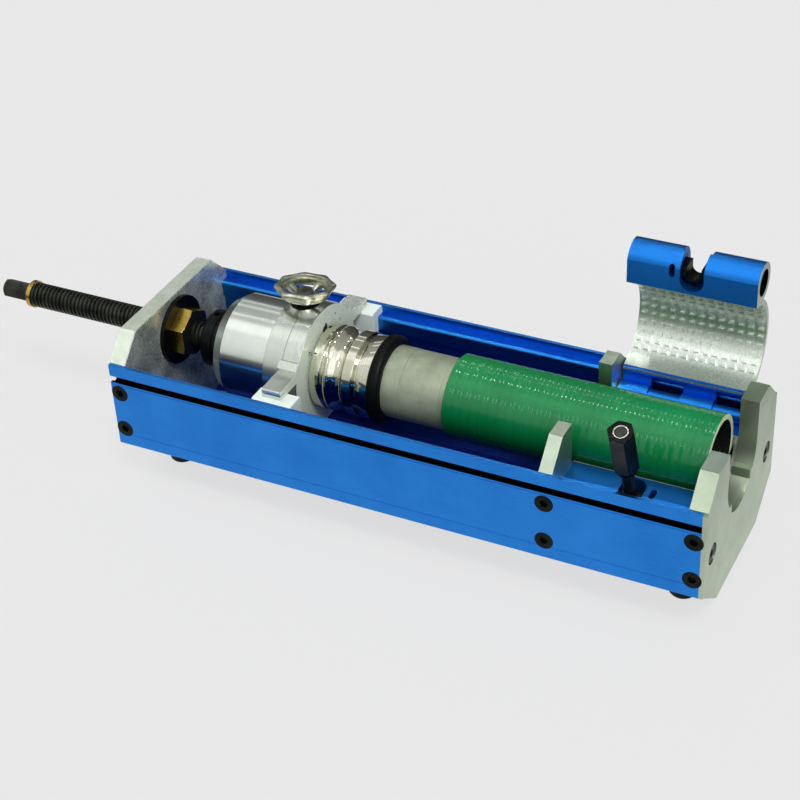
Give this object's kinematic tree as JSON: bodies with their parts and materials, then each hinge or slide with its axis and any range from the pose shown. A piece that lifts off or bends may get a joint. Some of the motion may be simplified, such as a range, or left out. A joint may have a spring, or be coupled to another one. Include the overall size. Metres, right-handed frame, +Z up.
{
  "type": "hose fitting press",
  "caption": "Bench press whose screw-driven ram pushes a barbed pipe fitting into the end of a hose gripped between toothed hinged jaws.",
  "frame": {"origin": "on the bench plane under the middle of the bounding box, rubber feet at z = 0", "axes": "+X along the drive screw towards the hose clamp, +Y from the front rail to the hinge side, +Z up"},
  "size_m": [0.8738, 0.252, 0.302],
  "materials": {
    "frame_blue": "anodised blue, satin",
    "pan_blue": "blue sheet, satin",
    "plate_grey": "blasted grey, matte",
    "plate_dark": "blasted grey, speckled",
    "yoke_grey": "blasted grey, matte",
    "screw_blue": "blue finished steel",
    "screw_steel": "bright steel",
    "rubber_black": "matte",
    "flange_black": "black, satin",
    "brass": "milled",
    "jaw_blue": "anodised blue, satin",
    "pin_steel": "bright",
    "hose_green": "smooth ribbed",
    "ram_alu": "turned, polished",
    "chuck_alu": "turned",
    "slider_white": "matte",
    "fitting_steel": "polished",
    "screw_black": "black oxide",
    "black_steel": "black oxide",
    "wheel_steel": "cast"
  },
  "bodies": {
    "frame": {"front_rail": "frame_blue", "rear_rail": "frame_blue", "floor_pan": "pan_blue", "screw_end_plate": "plate_dark", "middle_yoke": "yoke_grey", "clamp_end_yoke": "plate_grey", "side_screws": "screw_blue", "yoke_cap_screws": "screw_steel", "rubber_feet": "rubber_black", "foot_screws": "screw_steel", "nut_flange": "flange_black", "drive_nut": "brass", "lower_jaw": "jaw_blue", "hinge_pin": "pin_steel", "hose": "hose_green"},
    "carriage": {"ram_body": "ram_alu", "chuck_ring": "chuck_alu", "front_slider": "slider_white", "rear_slider": "slider_white", "slider_screws": "screw_steel", "thrust_bearing": "screw_steel", "spindle_bushing": "black_steel", "hose_fitting": "fitting_steel", "fitting_seal": "rubber_black"},
    "screw": {"drive_screw": "screw_black", "drive_hex": "screw_black", "screw_ring": "brass", "thrust_collar": "black_steel"},
    "pad": {"lock_pad": "brass"},
    "wheel": {"lock_spindle": "wheel_steel", "handwheel": "wheel_steel", "wheel_nut": "wheel_steel"},
    "jaw": {"upper_jaw": "jaw_blue", "clamp_bar": "black_steel", "bar_setscrew": "black_steel"},
    "swing_bolt": {"pivot_bar": "black_steel", "swing_stud": "screw_black"},
    "washer": {"clamp_washer": "black_steel"},
    "nut": {"clamp_nut": "black_steel"}
  },
  "joints": [
    {"name": "carriage_slide", "type": "slide", "parent": "frame", "child": "carriage", "axis": [1, 0, 0], "range_m": [-0.02, 0.07]},
    {"name": "screw_turn", "type": "hinge", "parent": "carriage", "child": "screw", "pos_m": [-0.22555, -0.00772, 0.1391], "axis": [1, 0, 0], "range_deg": [-1500, 5000]},
    {"name": "pad_slide", "type": "slide", "parent": "carriage", "child": "pad", "axis": [0, 0.1392, 0.9903], "range_m": [0, 0.003]},
    {"name": "wheel_turn", "type": "hinge", "parent": "pad", "child": "wheel", "pos_m": [-0.04735, -0.00772, 0.1391], "axis": [0, 0.1392, 0.9903], "range_deg": [0, 730]},
    {"name": "jaw_hinge", "type": "hinge", "parent": "frame", "child": "jaw", "pos_m": [0.34895, 0.06828, 0.1375], "axis": [1, 0, 0], "range_deg": [0, 90.5]},
    {"name": "bolt_swing", "type": "hinge", "parent": "frame", "child": "swing_bolt", "pos_m": [0.34895, -0.07572, 0.1131], "axis": [-1, 0, 0], "range_deg": [0, 19]},
    {"name": "washer_slide", "type": "slide", "parent": "swing_bolt", "child": "washer", "axis": [0, -0.3256, 0.9455], "range_m": [0, 0.02]},
    {"name": "nut_turn", "type": "hinge", "parent": "washer", "child": "nut", "pos_m": [0.34895, -0.07572, 0.1131], "axis": [0, -0.3256, 0.9455], "range_deg": [0, 3700]}
  ],
  "couplings": [
    {"joint": "screw_turn", "follows": "carriage_slide", "rad_per_m": 1236.8},
    {"joint": "wheel_turn", "follows": "pad_slide", "rad_per_m": 4188.8},
    {"joint": "nut_turn", "follows": "washer_slide", "rad_per_m": 3215.6}
  ]
}
